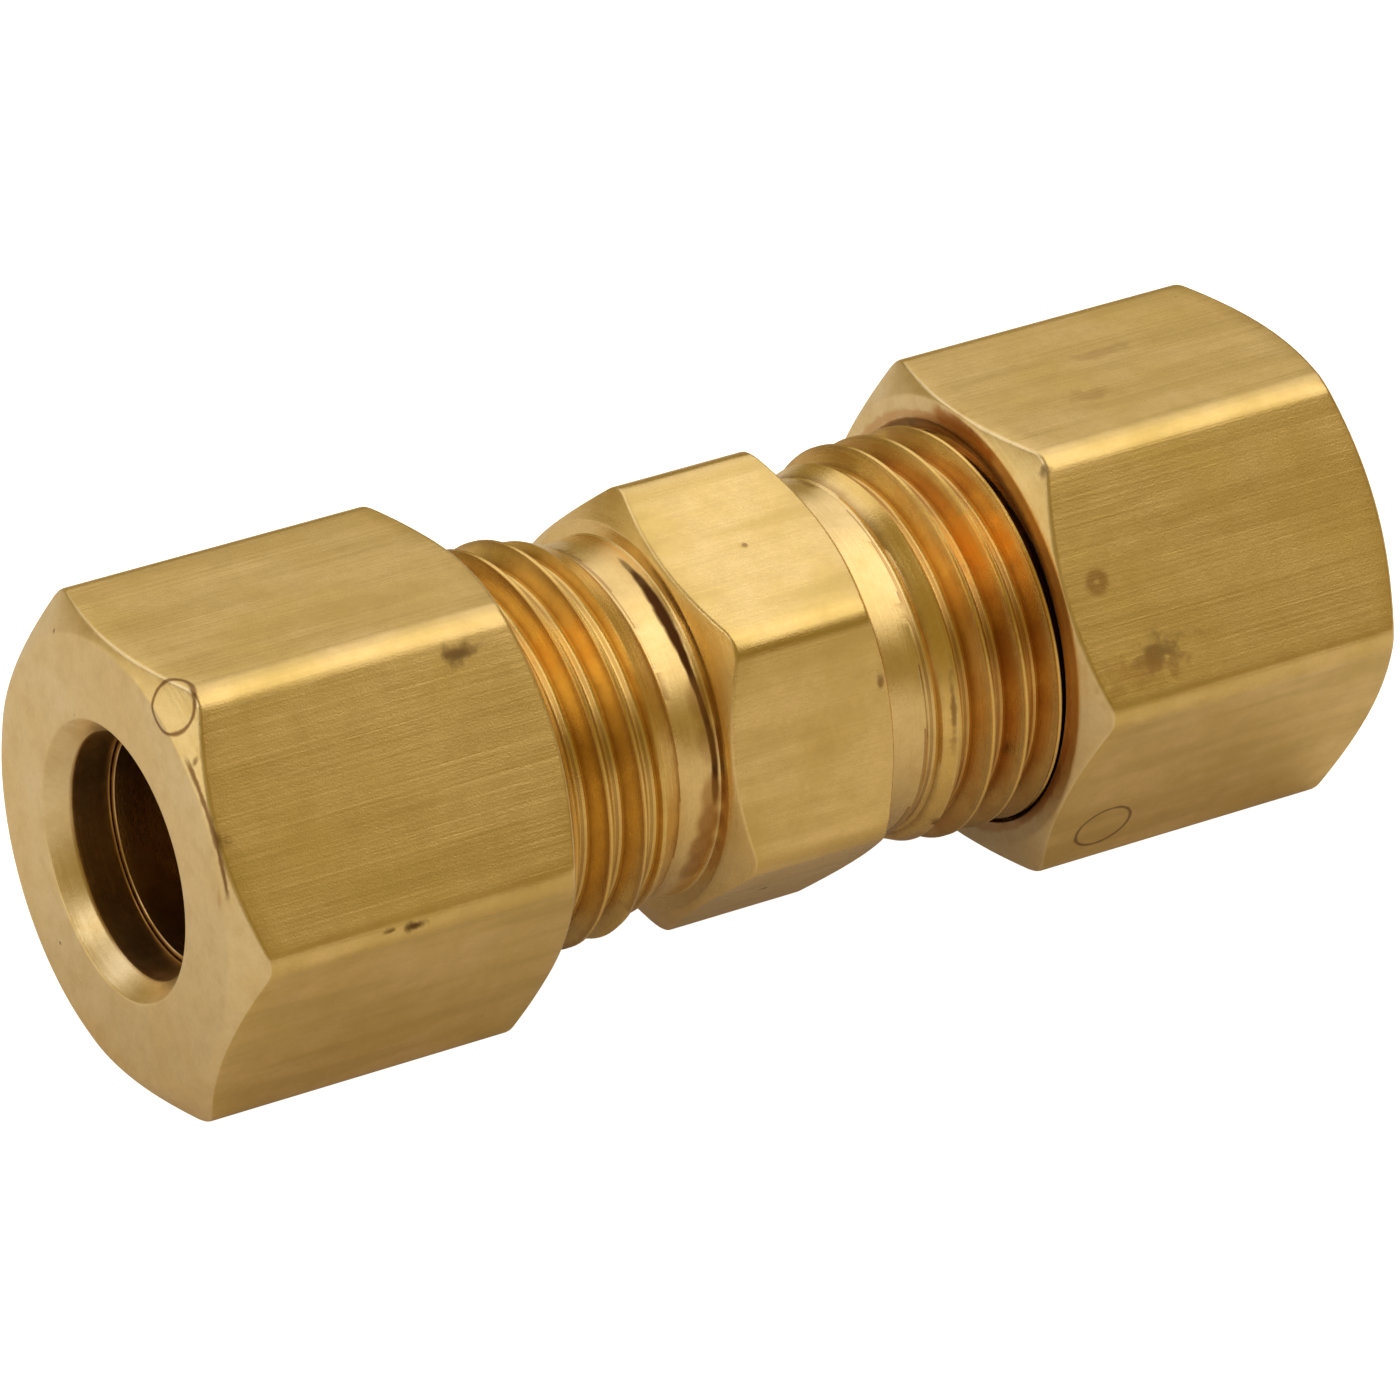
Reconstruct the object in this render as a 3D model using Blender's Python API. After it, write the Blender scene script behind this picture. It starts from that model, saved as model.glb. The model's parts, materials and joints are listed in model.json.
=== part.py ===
"""A brass compression union for two 6.35 mm (1/4 in) tubes, in metres, with +X along the tube axis and +Z up.

The union body has a hexagon at its middle and a male thread at each end. A nut screws onto each thread and
carries a loose sleeve (ferrule), which it pushes into the cone at the mouth of the body.
Every distance "out" is measured along the axis from the middle of the body, the same way at both ends.
"""

import math

import bmesh
import bpy
from mathutils import Matrix

MM = 0.001
INCH = 0.0254

# Driving dimensions: the tube and the thread's pitch. The walls round the tube then give a 7/16-24 thread,
# a nut 1/2 in across its flats and a body 7/16 in across its flats.
TUBE_DIAMETER = INCH / 4
THREAD_PITCH = INCH / 24

# Along the axis.
BODY_LENGTH = 24.0 * MM
BODY_HEX_WIDTH = 5.13 * MM
NECK_LENGTH = 1.25 * MM
SOCKET_DEPTH = 6.5 * MM
SLEEVE_LENGTH = 5.2 * MM
NUT_LENGTH = 10.25 * MM
NUT_BORE_DEPTH = 1.75 * MM  # from the nut's outer face to the start of its seat

# Walls and steps, outward from the tube.
TUBE_STOP_LEDGE = 0.825 * MM
SLEEVE_WALL = 0.9 * MM
SLEEVE_FRONT_LIP = 0.25 * MM  # the flat ring at the sleeve's front end
BODY_END_WALL = 0.59 * MM  # from the cone's mouth to the thread's root
NECK_UNDER_ROOT = 0.06 * MM
BODY_FLATS_OVER_THREAD = 0.017 * MM
NUT_WALL = 0.691 * MM  # from the bottom of the nut's thread to its flats

# Clearances, radial unless they say otherwise.
SOCKET_CLEARANCE = 0.05 * MM
SLEEVE_CLEARANCE = 0.025 * MM
NUT_BORE_CLEARANCE = 0.175 * MM
SLEEVE_ROOM = 0.2 * MM  # between the sleeve and the cone's mouth
SLEEVE_TRAVEL = 0.412 * MM  # along the axis, from the sleeve's nose to where it meets the cone
SEAT_GAP = 0.2 * MM  # along the axis, between the sleeve's back and the nut's seat
CREST_CLEARANCE = 0.12 * MM  # between a male crest and the bottom of the nut's groove
ROOT_CLEARANCE = 0.16 * MM  # between a male root and the nut's crest
FLANK_CLEARANCE = 0.08 * MM  # along the axis, between each pair of flanks

# The thread's form: a sharp 60 degree thread with its crests and its roots cut flat.
FLANK_SLOPE = math.tan(math.radians(30))
THREAD_DEPTH = THREAD_PITCH / 2 / FLANK_SLOPE * 17 / 24
CREST_FLAT = THREAD_PITCH / 8
ROOT_FLAT = THREAD_PITCH - CREST_FLAT - 2 * THREAD_DEPTH * FLANK_SLOPE
THREAD_START = THREAD_PITCH / 4  # where the helix crosses +Y; a quarter pitch makes both ends the same
THREAD_END_CHAMFER = 0.59 * MM
RUN_OUT_SLOPE = math.tan(math.radians(30))
TAP_SHORT_OF_SEAT = 0.8 * MM

# Cones and chamfers, as the radius gained for each metre along the axis, or the other way about where noted.
MOUTH_SLOPE = math.tan(math.radians(30))
HEX_CHAMFER_SLOPE = math.tan(math.radians(30))  # along the axis for each metre of radius
NUT_ENTRY_CHAMFER_DEPTH = 0.6 * MM
NUT_ENTRY_CHAMFER_WIDTH = 0.5 * MM
NUT_COUNTERSINK = 0.24 * MM  # how far the thread's mouth is opened past the bottom of the groove

# The hexagons' corners and faces.
NUT_CORNER_RADIUS = 0.8 * MM
BODY_CORNER_RADIUS = 0.65 * MM
NUT_FACE_INSET = 0.24 * MM  # the flat end face's radius is this much under half the across-flats
NUT_MOUTH_INSET = 0.06 * MM  # the same at the thread end
BODY_FACE_INSET = 0.2 * MM
BODY_HEX_TURN = math.radians(20)  # how far the body's hexagon stands turned from the nuts' hexagons

SEGMENTS = 32  # sides of every turned shape and of each turn of thread
CORNER_SEGMENTS = 3
OVERCUT = 1.0 * MM  # how far a cutter runs past what it cuts

# Radii, outward from the tube.
TUBE_RADIUS = TUBE_DIAMETER / 2
SOCKET_RADIUS = TUBE_RADIUS + SOCKET_CLEARANCE
FLOW_RADIUS = SOCKET_RADIUS - TUBE_STOP_LEDGE
NUT_BORE = TUBE_RADIUS + NUT_BORE_CLEARANCE
SLEEVE_BORE = TUBE_RADIUS + SLEEVE_CLEARANCE
SLEEVE_FRONT = SLEEVE_BORE + SLEEVE_FRONT_LIP
SLEEVE_BACK = NUT_BORE  # the back's flat ring ends level with the nut's bore
SLEEVE_RADIUS = SLEEVE_BORE + SLEEVE_WALL
MOUTH_RADIUS = SLEEVE_RADIUS + SLEEVE_ROOM
MALE_ROOT = MOUTH_RADIUS + BODY_END_WALL
MALE_CREST = MALE_ROOT + THREAD_DEPTH
NECK_RADIUS = MALE_ROOT - NECK_UNDER_ROOT
FEMALE_CREST = MALE_ROOT + ROOT_CLEARANCE
FEMALE_ROOT = MALE_CREST + CREST_CLEARANCE
BODY_ACROSS_FLATS = 2 * (MALE_CREST + BODY_FLATS_OVER_THREAD)
NUT_ACROSS_FLATS = 2 * (FEMALE_ROOT + NUT_WALL)

# Places along the axis, outward from the middle of the body. Each end of the fitting has the same ones.
NECK_OUT = BODY_HEX_WIDTH / 2 + NECK_LENGTH
BODY_END = BODY_LENGTH / 2
SOCKET_END = BODY_END - SOCKET_DEPTH
CONE_START = BODY_END - (MOUTH_RADIUS - SOCKET_RADIUS) / MOUTH_SLOPE
SLEEVE_OUT = BODY_END - (MOUTH_RADIUS - SLEEVE_FRONT) / MOUTH_SLOPE + SLEEVE_TRAVEL
NUT_SEAT_OUT = SLEEVE_OUT + SLEEVE_LENGTH + SEAT_GAP
NUT_OUT = NUT_SEAT_OUT + NUT_BORE_DEPTH - NUT_LENGTH


def new_object(name, bm, hidden=False):
    """Turns a bmesh into an object whose faces point out. A hidden one is a cutter or a guide."""
    bmesh.ops.recalc_face_normals(bm, faces=bm.faces)
    mesh = bpy.data.meshes.new(name)
    bm.to_mesh(mesh)
    bm.free()
    mesh.shade_smooth()
    mesh.set_sharp_from_angle(angle=math.radians(25))
    obj = bpy.data.objects.new(name, mesh)
    bpy.context.scene.collection.objects.link(obj)
    if hidden:
        obj.hide_render = True
        obj.display_type = "WIRE"
    return obj


def turned(name, outline, hidden=False):
    """Spins a closed outline of (distance along the axis, radius) corners round the X axis.

    Its facets stand half a step round from a thread's, so that no edge of one lies along an edge of the other.
    """
    bm = bmesh.new()
    corners = [bm.verts.new((along, radius, 0)) for along, radius in outline]
    edges = [bm.edges.new((a, b)) for a, b in zip(corners, corners[1:] + corners[:1])
             if a.co.y > 0 or b.co.y > 0]
    bmesh.ops.spin(bm, geom=corners + edges, cent=(0, 0, 0), axis=(1, 0, 0),
                   angle=math.tau, steps=SEGMENTS, use_merge=True)
    bmesh.ops.remove_doubles(bm, verts=bm.verts, dist=1e-7)
    on_axis = [v for v in bm.verts if math.hypot(v.co.y, v.co.z) < 1e-7]
    bmesh.ops.dissolve_verts(bm, verts=on_axis)  # leaves one flat face at each end
    bmesh.ops.rotate(bm, verts=bm.verts, matrix=Matrix.Rotation(math.pi / SEGMENTS, 3, "X"))
    return new_object(name, bm, hidden)


def both_ends(half):
    """Repeats an outline's right-hand half at the left, and closes the two into one."""
    return [(-along, radius) for along, radius in reversed(half)] + half


def thread_rod(name, crest, root, root_flat, start, low, high):
    """A hidden rod with a right-hand thread between two places on the axis.

    The groove at angle a lies half a flat either side of start + pitch * a / one turn.
    """
    flank = (crest - root) * FLANK_SLOPE
    crest_flat = THREAD_PITCH - root_flat - 2 * flank
    profile = [(-root_flat / 2, root), (root_flat / 2, root),
               (root_flat / 2 + flank, crest), (root_flat / 2 + flank + crest_flat, crest)]
    first = math.floor((low - start) / THREAD_PITCH) - 1
    turns = math.ceil((high - low) / THREAD_PITCH) + 2
    steps = turns * SEGMENTS

    bm = bmesh.new()
    rows = []
    for step in range(steps + SEGMENTS + 1):
        angle = math.tau * step / SEGMENTS
        reach = start + THREAD_PITCH * (first + step / SEGMENTS)
        corners = profile if step <= steps else profile[:1]
        rows.append([bm.verts.new((reach + along, radius * math.cos(angle), radius * math.sin(angle)))
                     for along, radius in corners])
    for step in range(steps):
        # The last corner of this turn's profile is the first of the next turn's.
        here = rows[step] + [rows[step + SEGMENTS][0]]
        ahead = rows[step + 1] + [rows[step + 1 + SEGMENTS][0]]
        for k in range(len(profile)):
            bm.faces.new((here[k], here[k + 1], ahead[k + 1], ahead[k]))
    for step in (0, steps):
        rim = [row[0] for row in rows[step:step + SEGMENTS + 1]] + rows[step][:0:-1]
        middle = bm.verts.new((sum(v.co.x for v in rim) / len(rim), 0, 0))
        for a, b in zip(rim, rim[1:] + rim[:1]):
            bm.faces.new((a, b, middle))
    return new_object(name, bm, hidden=True)


def hexagon_bar(name, across_flats, low, high, corner_radius, hidden=False):
    """A hexagonal bar along X with rounded corners, lying on a flat, that runs past both ends."""
    bm = bmesh.new()
    reach = across_flats / math.sqrt(3)
    angles = [math.tau * k / 6 for k in range(6)]
    bm.faces.new([bm.verts.new((low - OVERCUT, reach * math.cos(a), reach * math.sin(a))) for a in angles])
    bmesh.ops.bevel(bm, geom=bm.verts[:], offset=corner_radius * math.tan(math.radians(30)),
                    segments=CORNER_SEGMENTS, profile=0.5, affect="VERTICES")
    grown = bmesh.ops.extrude_face_region(bm, geom=bm.faces[:])
    moved = [v for v in grown["geom"] if isinstance(v, bmesh.types.BMVert)]
    bmesh.ops.translate(bm, verts=moved, vec=(high - low + 2 * OVERCUT, 0, 0))
    return new_object(name, bm, hidden)


def chamfer_guide(name, low, high, low_face_radius, high_face_radius, across_flats):
    """What a bar keeps when both its ends are turned to 30 degree chamfers round a flat face."""
    widest = across_flats / math.sqrt(3) + OVERCUT
    return turned(name, [
        (low, 0), (low, low_face_radius),
        (low + (widest - low_face_radius) * HEX_CHAMFER_SLOPE, widest),
        (high - (widest - high_face_radius) * HEX_CHAMFER_SLOPE, widest),
        (high, high_face_radius), (high, 0),
    ], hidden=True)


def boolean(obj, operation, other):
    """Adds an exact Boolean with a hidden object, which is parented to this one so that they move together."""
    other.parent = obj
    modifier = obj.modifiers.new(f"{operation.lower()} {other.name}", "BOOLEAN")
    modifier.operation = operation
    modifier.solver = "EXACT"
    modifier.object = other


def brass(name, colour, roughness):
    material = bpy.data.materials.new(name)
    material.use_nodes = True
    shader = material.node_tree.nodes["Principled BSDF"]
    shader.inputs["Base Color"].default_value = (*colour, 1)
    shader.inputs["Metallic"].default_value = 1
    shader.inputs["Roughness"].default_value = roughness
    return material


def union_body():
    """The threaded rod, cut to the body's turned outline, joined to its hexagon and bored through."""
    clear = MALE_CREST + OVERCUT
    chamfered = MALE_CREST - THREAD_END_CHAMFER
    # The run-out and the 45 degree end chamfer both go on past the crests, until they are clear of them.
    half = [(NECK_OUT, NECK_RADIUS), (NECK_OUT + (clear - NECK_RADIUS) / RUN_OUT_SLOPE, clear),
            (BODY_END - (clear - chamfered), clear), (BODY_END, chamfered), (BODY_END, 0)]
    body = thread_rod("union_body", MALE_CREST, MALE_ROOT, ROOT_FLAT, THREAD_START,
                      -BODY_END - OVERCUT, BODY_END + OVERCUT)
    body.hide_render = False
    body.display_type = "TEXTURED"
    boolean(body, "INTERSECT", turned("body_outline", both_ends(half), hidden=True))

    half_width = BODY_HEX_WIDTH / 2
    face_radius = BODY_ACROSS_FLATS / 2 - BODY_FACE_INSET
    hexagon = hexagon_bar("body_hexagon", BODY_ACROSS_FLATS, -half_width, half_width,
                          BODY_CORNER_RADIUS, hidden=True)
    hexagon.rotation_euler.x = BODY_HEX_TURN
    boolean(hexagon, "INTERSECT", chamfer_guide("body_hexagon_chamfers", -half_width, half_width,
                                                face_radius, face_radius, BODY_ACROSS_FLATS))
    boolean(body, "UNION", hexagon)

    beyond = BODY_END + OVERCUT
    half_bore = [(SOCKET_END, FLOW_RADIUS), (SOCKET_END, SOCKET_RADIUS), (CONE_START, SOCKET_RADIUS),
                 (beyond, MOUTH_RADIUS + OVERCUT * MOUTH_SLOPE), (beyond, 0)]
    boolean(body, "DIFFERENCE", turned("body_bore", both_ends(half_bore), hidden=True))
    return body


def nut(name):
    """A nut in its own frame: its thread end at the origin, and its tube end along +X."""
    obj = hexagon_bar(name, NUT_ACROSS_FLATS, 0, NUT_LENGTH, NUT_CORNER_RADIUS)
    boolean(obj, "INTERSECT", chamfer_guide(
        f"{name}_chamfers", 0, NUT_LENGTH, NUT_ACROSS_FLATS / 2 - NUT_MOUTH_INSET,
        NUT_ACROSS_FLATS / 2 - NUT_FACE_INSET, NUT_ACROSS_FLATS))

    # The countersink at the thread end and the seat are both 45 degree cones.
    countersunk = FEMALE_ROOT + NUT_COUNTERSINK
    seat = NUT_SEAT_OUT - NUT_OUT
    seat_mouth = seat - (FEMALE_CREST - NUT_BORE)
    past_face = NUT_ENTRY_CHAMFER_DEPTH + OVERCUT
    entry = NUT_BORE + past_face * NUT_ENTRY_CHAMFER_WIDTH / NUT_ENTRY_CHAMFER_DEPTH
    boolean(obj, "DIFFERENCE", turned(f"{name}_bore", [
        (-OVERCUT, 0), (-OVERCUT, countersunk + OVERCUT), (countersunk - FEMALE_CREST, FEMALE_CREST),
        (seat_mouth, FEMALE_CREST), (seat, NUT_BORE), (NUT_LENGTH - NUT_ENTRY_CHAMFER_DEPTH, NUT_BORE),
        (NUT_LENGTH + OVERCUT, entry), (NUT_LENGTH + OVERCUT, 0),
    ], hidden=True))

    # The tap's ridge fills the male thread's groove and more: its crest is what is left of the pitch.
    ridge = THREAD_PITCH - ROOT_FLAT - 2 * (FEMALE_ROOT - MALE_ROOT) * FLANK_SLOPE + 2 * FLANK_CLEARANCE
    tap_root = FEMALE_CREST - ROOT_CLEARANCE / 2
    tap_root_flat = THREAD_PITCH - ridge - 2 * (FEMALE_ROOT - tap_root) * FLANK_SLOPE
    tap_end = seat_mouth - TAP_SHORT_OF_SEAT
    tap = thread_rod(f"{name}_tap", FEMALE_ROOT, tap_root, tap_root_flat, THREAD_START - NUT_OUT,
                     -OVERCUT, tap_end)
    clear = FEMALE_ROOT + OVERCUT
    outline = turned(f"{name}_tap_outline", [
        (-OVERCUT, 0), (-OVERCUT, clear), (tap_end - clear + tap_root, clear), (tap_end, tap_root),
        (tap_end, 0),
    ], hidden=True)
    outline.rotation_euler.x = math.pi / SEGMENTS / 2  # keeps its edges off the thread's and the bore's
    boolean(tap, "INTERSECT", outline)
    boolean(obj, "DIFFERENCE", tap)
    return obj


def sleeve(name):
    """A sleeve in its own frame: its front end at the origin, and its back end along +X."""
    return turned(name, [
        (0, SLEEVE_BORE), (0, SLEEVE_FRONT), ((SLEEVE_RADIUS - SLEEVE_FRONT) / MOUTH_SLOPE, SLEEVE_RADIUS),
        (SLEEVE_LENGTH - (SLEEVE_RADIUS - SLEEVE_BACK), SLEEVE_RADIUS),
        (SLEEVE_LENGTH, SLEEVE_BACK), (SLEEVE_LENGTH, SLEEVE_BORE),
    ])


def follow(piece, leader):
    """Parents a piece to another with both left where they are."""
    bpy.context.view_layer.update()
    piece.parent = leader
    piece.matrix_parent_inverse = leader.matrix_world.inverted()


def main():
    for obj in list(bpy.data.objects):
        bpy.data.objects.remove(obj)
    body_brass = brass("body_brass", (0.78, 0.56, 0.22), 0.3)
    nut_brass = brass("nut_brass", (0.74, 0.54, 0.22), 0.35)
    sleeve_brass = brass("sleeve_brass", (0.8, 0.6, 0.26), 0.28)

    body = union_body()
    body.data.materials.append(body_brass)
    for side, sign, turn in (("right", 1, 0), ("left", -1, math.pi)):
        one_nut = nut(f"{side}_nut")
        one_nut.location.x = sign * NUT_OUT
        one_nut.data.materials.append(nut_brass)
        one_sleeve = sleeve(f"{side}_sleeve")
        one_sleeve.location.x = sign * SLEEVE_OUT
        one_sleeve.data.materials.append(sleeve_brass)
        # Half a turn about Z puts the left-hand pieces the other way round, and keeps the thread right-handed.
        one_nut.rotation_euler.z = one_sleeve.rotation_euler.z = turn
        follow(one_nut, one_sleeve)
        follow(one_sleeve, body)


main()
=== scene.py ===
# %% [markdown]
# # A brass compression union
# A compression union joins two tubes end to end without solder. A threaded body sits in the middle, and a long
# hexagonal nut at each end squeezes a loose sleeve onto the tube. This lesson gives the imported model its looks:
# each piece is built again with fine threads, rounded corners and turned faces, and is then given worn brass.

# %% Load the frame
import json
import math

import bmesh
import bpy
import numpy as np
from mathutils import Matrix, Vector
from mathutils.kdtree import KDTree

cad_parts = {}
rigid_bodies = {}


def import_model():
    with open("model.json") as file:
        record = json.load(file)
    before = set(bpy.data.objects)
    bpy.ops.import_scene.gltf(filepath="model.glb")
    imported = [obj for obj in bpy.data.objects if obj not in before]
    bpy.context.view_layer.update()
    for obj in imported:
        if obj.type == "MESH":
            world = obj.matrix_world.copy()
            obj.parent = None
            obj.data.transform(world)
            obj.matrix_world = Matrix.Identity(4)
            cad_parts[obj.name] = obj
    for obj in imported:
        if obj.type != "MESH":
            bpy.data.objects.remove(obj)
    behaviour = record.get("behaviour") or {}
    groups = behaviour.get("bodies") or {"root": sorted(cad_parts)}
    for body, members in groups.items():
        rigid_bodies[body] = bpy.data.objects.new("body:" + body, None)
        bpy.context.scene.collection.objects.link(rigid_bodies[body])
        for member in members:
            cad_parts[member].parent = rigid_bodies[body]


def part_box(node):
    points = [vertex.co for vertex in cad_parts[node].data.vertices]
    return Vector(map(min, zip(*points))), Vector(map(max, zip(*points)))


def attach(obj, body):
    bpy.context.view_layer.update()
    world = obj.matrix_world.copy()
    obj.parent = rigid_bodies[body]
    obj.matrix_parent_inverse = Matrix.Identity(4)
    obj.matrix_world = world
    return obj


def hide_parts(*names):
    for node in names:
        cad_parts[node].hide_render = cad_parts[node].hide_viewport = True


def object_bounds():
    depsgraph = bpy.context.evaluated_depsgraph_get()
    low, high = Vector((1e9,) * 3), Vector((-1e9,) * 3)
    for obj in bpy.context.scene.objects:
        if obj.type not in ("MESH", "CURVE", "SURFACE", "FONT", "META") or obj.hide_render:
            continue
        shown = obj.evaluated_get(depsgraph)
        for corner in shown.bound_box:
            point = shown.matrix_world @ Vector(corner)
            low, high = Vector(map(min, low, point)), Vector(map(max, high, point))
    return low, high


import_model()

CAD_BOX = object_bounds()
MM = 0.001
print("overall size in mm:", [round((high - low) / MM, 2) for low, high in zip(*CAD_BOX)])

# %% [markdown]
# ## Sizes from the frame
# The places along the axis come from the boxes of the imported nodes, so every piece that is built here lands
# where its solid is. Only the small sizes that a box can't hold, such as the corner radii, are named below.

# %% Places along the axis
NUT_LOW, NUT_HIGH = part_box("right_nut")
BODY_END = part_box("union_body")[1][0]
SLEEVE_LOW, SLEEVE_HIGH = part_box("right_sleeve")

NUT_OUT, NUT_FACE_OUT = NUT_LOW[0], NUT_HIGH[0]  # the thread end and the tube end
NUT_FLATS = NUT_HIGH[2] - NUT_LOW[2]
SLEEVE_OUT, SLEEVE_BACK_OUT = SLEEVE_LOW[0], SLEEVE_HIGH[0]
SLEEVE_RADIUS = SLEEVE_HIGH[2]
FLOOR = CAD_BOX[0][2]
print("nut from", round(NUT_OUT / MM, 2), "to", round(NUT_FACE_OUT / MM, 2), "mm out")

# %% [markdown]
# ## Camera and stage
# A small part looks best through a long lens, which keeps the hexagons nearly free of perspective. A camera can
# be placed by its coordinates. Here it is set by its distance and by two angles, how far round it stands and how
# far up, because each of them can then be changed by itself.

# %% Camera
CAMERA_AZIMUTH = math.radians(31.49)  # left of straight on
CAMERA_ELEVATION = math.radians(27.59)
CAMERA_ROLL = math.radians(-0.2)
CAMERA_DISTANCE = 282.17 * MM
CAMERA_AIM = Vector((-0.16 * MM, 0, 0))
LENS_MM = 270.8
SENSOR_MM = 36
LENS_SHIFT = -0.005  # lowers the frame a little, as a share of its width

lens = bpy.data.cameras.new("camera")
lens.lens = LENS_MM
lens.sensor_width = SENSOR_MM
lens.shift_y = LENS_SHIFT
lens.clip_start = 0.01
lens.clip_end = 10
camera = bpy.data.objects.new("camera", lens)
bpy.context.scene.collection.objects.link(camera)
look = Vector((math.sin(CAMERA_AZIMUTH) * math.cos(CAMERA_ELEVATION),
               math.cos(CAMERA_AZIMUTH) * math.cos(CAMERA_ELEVATION), -math.sin(CAMERA_ELEVATION)))
facing = look.to_track_quat("-Z", "Y").to_matrix().to_4x4() @ Matrix.Rotation(CAMERA_ROLL, 4, "Z")
camera.matrix_world = Matrix.Translation(CAMERA_AIM - look * CAMERA_DISTANCE) @ facing
bpy.context.scene.camera = camera
print("camera at", [round(c / MM, 1) for c in camera.location])

# %% [markdown]
# Metal shows its surroundings more than its own colour, so the light is set up as in a studio for small metal
# parts. A wide white panel hangs overhead, leaning to the right, with a larger and cooler one behind it
# for the upper flats. On the left, a small panel stands high for the turned necks and a long warm one stands
# low for the end faces. A warm dim room fills the rest. One bright sky would be simpler, but every flat would
# look alike.

# %% Lights
def panel(name, place, size, brightness, colour=(1, 1, 1)):
    """A soft rectangular light that faces the part. A mirror in front of it would show its brightness."""
    data = bpy.data.lights.new(name, "AREA")
    data.shape = "RECTANGLE"
    data.size, data.size_y = size
    data.energy = brightness * size[0] * size[1] * math.pi
    data.color = colour
    light = bpy.data.objects.new(name, data)
    bpy.context.scene.collection.objects.link(light)
    light.location = place
    light.rotation_euler = (-Vector(place)).to_track_quat("-Z", "Y").to_euler()


COOL = (0.95, 1.0, 1.14)
WARM = (1.0, 0.95, 0.76)
ROOM = (0.305, 0.224, 0.066)

# Places and sizes in metres, then the brightness.
panel("overhead_panel", (0.24, -0.165, 0.44), (0.48, 0.50), 1.13)
panel("far_overhead_panel", (0.08, 0.55, 0.75), (1.9, 0.78), 0.78, COOL)
panel("left_panel", (-0.64, -0.04, 0.62), (0.4, 0.4), 1.15)
panel("left_wall_panel", (-0.90, 0.30, 0.14), (1.0, 0.4), 0.76, WARM)

world = bpy.data.worlds.new("room")
world.use_nodes = True
world.node_tree.nodes["Background"].inputs["Color"].default_value = (*ROOM, 1)
bpy.context.scene.world = world
bpy.context.scene.view_settings.view_transform = "Standard"
print("lights:", [light.name for light in bpy.data.lights])

# %% [markdown]
# A material is a small network of nodes, which can be drawn by hand or built in Python. It is built here, so
# the same few steps come back often: add a node, link it, do arithmetic, mix two colours. Each gets a helper.

# %% Node helpers
def add_node(tree, kind, **settings):
    """Adds a node and sets its properties."""
    node = tree.nodes.new(kind)
    for name, value in settings.items():
        setattr(node, name, value)
    return node


def plug(tree, value, socket):
    """Links an output to a socket, or sets the socket to a plain value."""
    if isinstance(value, bpy.types.NodeSocket):
        tree.links.new(value, socket)
    elif value is not None:
        socket.default_value = value


def maths(tree, operation, a, b=None, c=None, clamp=False):
    """A Math node on two or three numbers or outputs."""
    node = add_node(tree, "ShaderNodeMath", operation=operation, use_clamp=clamp)
    for value, socket in zip((a, b, c), node.inputs):
        plug(tree, value, socket)
    return node.outputs[0]


def mix_colour(tree, factor, a, b):
    """A Mix node on two colours."""
    node = add_node(tree, "ShaderNodeMix", data_type="RGBA")
    plug(tree, factor, node.inputs["Factor"])
    plug(tree, a if isinstance(a, bpy.types.NodeSocket) else (*a, 1), node.inputs["A"])
    plug(tree, b if isinstance(b, bpy.types.NodeSocket) else (*b, 1), node.inputs["B"])
    return node.outputs["Result"]


# %% [markdown]
# The floor is a plain sheet. To the eye it is white all over, as a sheet that is lit from below looks. To the
# metal it is a pale surface that the part shades, so the lower flats still darken toward it, and it also gives
# off a faint glow of its own that lightens its shaded parts. The Light Path node tells the two apart.

# %% Floor
FLOOR_REACH = 3.0
FLOOR_TO_METAL = (0.74, 0.70, 0.63)
FLOOR_GLOW = 0.10  # to the metal, as a share of what the eye sees
corners = [(x * FLOOR_REACH, y * FLOOR_REACH, FLOOR) for x, y in ((-1, -1), (1, -1), (1, 1), (-1, 1))]
floor_mesh = bpy.data.meshes.new("floor")
floor_mesh.from_pydata(corners, [], [(0, 1, 2, 3)])
floor = bpy.data.objects.new("floor", floor_mesh)
bpy.context.scene.collection.objects.link(floor)

pale = bpy.data.materials.new("pale_floor")
pale.use_nodes = True
paper = pale.node_tree.nodes["Principled BSDF"]
paper.inputs["Base Color"].default_value = (*FLOOR_TO_METAL, 1)
paper.inputs["Roughness"].default_value = 0.9
paper.inputs["Specular IOR Level"].default_value = 0.0
paper.inputs["Emission Color"].default_value = (1, 1, 1, 1)
eye = add_node(pale.node_tree, "ShaderNodeLightPath").outputs["Is Camera Ray"]
glow = maths(pale.node_tree, "MULTIPLY_ADD", eye, 1.0 - FLOOR_GLOW, FLOOR_GLOW)
plug(pale.node_tree, glow, paper.inputs["Emission Strength"])
floor_mesh.materials.append(pale)
print("floor at", round(FLOOR / MM, 2), "mm")

# %% [markdown]
# ## Surfaces as sheets of points
# Turned and hexagonal pieces have one thing in common: cut through the axis at any angle and you get one closed
# outline. So each piece is made as a sheet of points, with a column for each angle and a row for each corner of
# its outline. The rows follow the real edges, which a plain grid or a Boolean cut would leave ragged.

# %% Angles round the axis
ROUND_STEPS = 120
CORNER_STEPS = 10
CORNER_REACH = 1.04  # how far the fine columns go, in spreads of a corner
EVEN_REACH = 1.3  # where the even columns take over
SIN_30, COS_30 = 0.5, math.cos(math.radians(30))
NUT_CORNER = 0.8 * MM


def corner_spread(flats, corner):
    """Half the angle, seen from the axis, that a hexagon's rounded corner takes."""
    centre = (flats / 2 - corner) / COS_30
    return math.atan2(corner * SIN_30, centre + corner * COS_30)


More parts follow.
